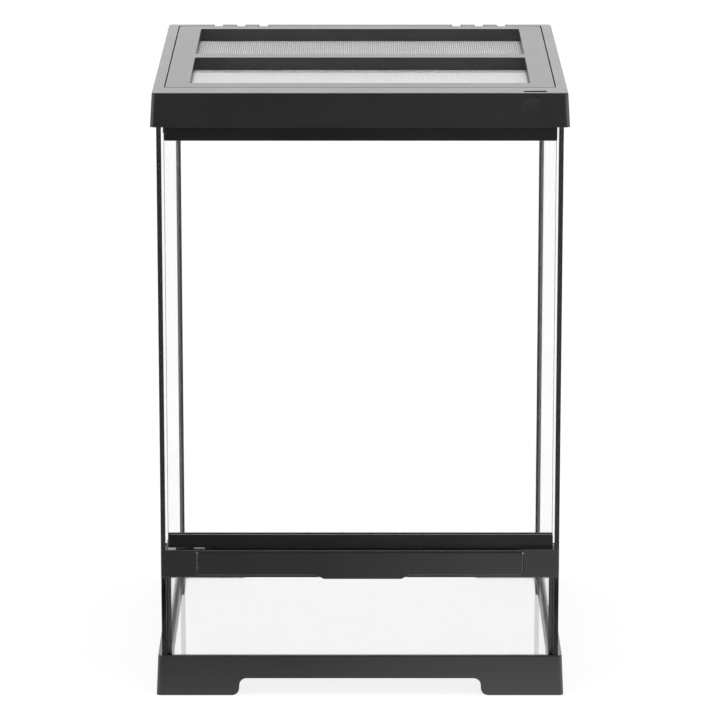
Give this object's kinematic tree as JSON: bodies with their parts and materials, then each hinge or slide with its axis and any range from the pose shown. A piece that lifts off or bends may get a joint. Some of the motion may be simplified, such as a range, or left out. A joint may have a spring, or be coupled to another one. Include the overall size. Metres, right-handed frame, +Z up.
{
  "type": "glass terrarium",
  "caption": "Tall front-opening glass terrarium: raised moulded base, hinged glass door above a vent bar with a tilting latch lever, and a lift-up mesh lid released by a push button.",
  "frame": {"origin": "middle of the floor that the feet stand on, under the centre of the object's bounding box", "axes": "+Z up, -Y towards the person at the door, +X to that person's right"},
  "size_m": [0.3, 0.3, 0.45],
  "materials": {
    "black_plastic": "fine satin, moulded black",
    "clear_glass": "clear float glass, ground edges",
    "black_silicone": "smooth black sealant",
    "steel": "bright stainless",
    "dark_steel": "blackened spring steel",
    "woven_steel": "fine woven stainless wire",
    "clear_nylon": "translucent natural nylon"
  },
  "bodies": {
    "tank": {"base_frame": "black_plastic", "bottom_pane": "clear_glass", "left_pane": "clear_glass", "right_pane": "clear_glass", "back_pane": "clear_glass", "lower_front_pane": "clear_glass", "silicone_floor": "black_silicone", "silicone_rear_left": "black_silicone", "silicone_rear_right": "black_silicone", "silicone_front_left": "black_silicone", "silicone_front_right": "black_silicone", "top_frame": "black_plastic", "vent_bar": "black_plastic", "lower_hinge_pin": "steel", "upper_hinge_pin": "steel", "hinge_seat": "clear_nylon", "door_rest_pad": "clear_nylon", "latch_pin_left": "steel", "latch_pin_right": "steel", "door_catch_left": "dark_steel", "door_catch_right": "dark_steel", "lid_button_spring": "steel"},
    "door": {"door_glass": "clear_glass", "door_bottom_profile": "black_plastic", "door_top_profile": "black_plastic", "lower_hinge_bush": "clear_nylon", "upper_hinge_bush": "clear_nylon"},
    "latch": {"latch_lever": "black_plastic"},
    "lid": {"lid_frame": "black_plastic", "mesh_clamp_frame": "black_plastic", "front_mesh": "woven_steel", "rear_mesh": "woven_steel", "lid_catch": "black_plastic"},
    "button": {"lid_button": "black_plastic"},
    "gate_1": {"cable_gate_1": "black_plastic"},
    "gate_2": {"cable_gate_2": "black_plastic"},
    "gate_3": {"cable_gate_3": "black_plastic"},
    "gate_4": {"cable_gate_4": "black_plastic"},
    "gate_5": {"cable_gate_5": "black_plastic"},
    "gate_6": {"cable_gate_6": "black_plastic"}
  },
  "joints": [
    {"name": "door_hinge", "type": "hinge", "parent": "tank", "child": "door", "pos_m": [-0.1376, -0.1418, 0.26815], "axis": [0, 0, -1], "range_deg": [0, 105], "deforming": ["door_catch_left", "door_catch_right"]},
    {"name": "latch_tilt", "type": "hinge", "parent": "tank", "child": "latch", "pos_m": [0, -0.1481, 0.1087], "axis": [-1, 0, 0], "range_deg": [0, 22], "stiffness_Nm_per_rad": 0.25, "springref_deg": -4.58, "deforming": ["door_catch_left", "door_catch_right"]},
    {"name": "lid_tilt", "type": "hinge", "parent": "tank", "child": "lid", "pos_m": [0, 0.1396, 0.4486], "axis": [-1, 0, 0], "range_deg": [0, 80], "deforming": ["lid_catch"]},
    {"name": "button_push", "type": "slide", "parent": "tank", "child": "button", "axis": [0, 1, 0], "range_m": [0, 0.0022], "stiffness_N_per_m": 900, "springref_m": -0.001, "deforming": ["lid_button_spring"]},
    {"name": "gate_lift_1", "type": "slide", "parent": "tank", "child": "gate_1", "axis": [0, 0, 1], "range_m": [0, 0.008]},
    {"name": "gate_lift_2", "type": "slide", "parent": "tank", "child": "gate_2", "axis": [0, 0, 1], "range_m": [0, 0.008]},
    {"name": "gate_lift_3", "type": "slide", "parent": "tank", "child": "gate_3", "axis": [0, 0, 1], "range_m": [0, 0.008]},
    {"name": "gate_lift_4", "type": "slide", "parent": "tank", "child": "gate_4", "axis": [0, 0, 1], "range_m": [0, 0.008]},
    {"name": "gate_lift_5", "type": "slide", "parent": "tank", "child": "gate_5", "axis": [0, 0, 1], "range_m": [0, 0.008]},
    {"name": "gate_lift_6", "type": "slide", "parent": "tank", "child": "gate_6", "axis": [0, 0, 1], "range_m": [0, 0.008]}
  ]
}
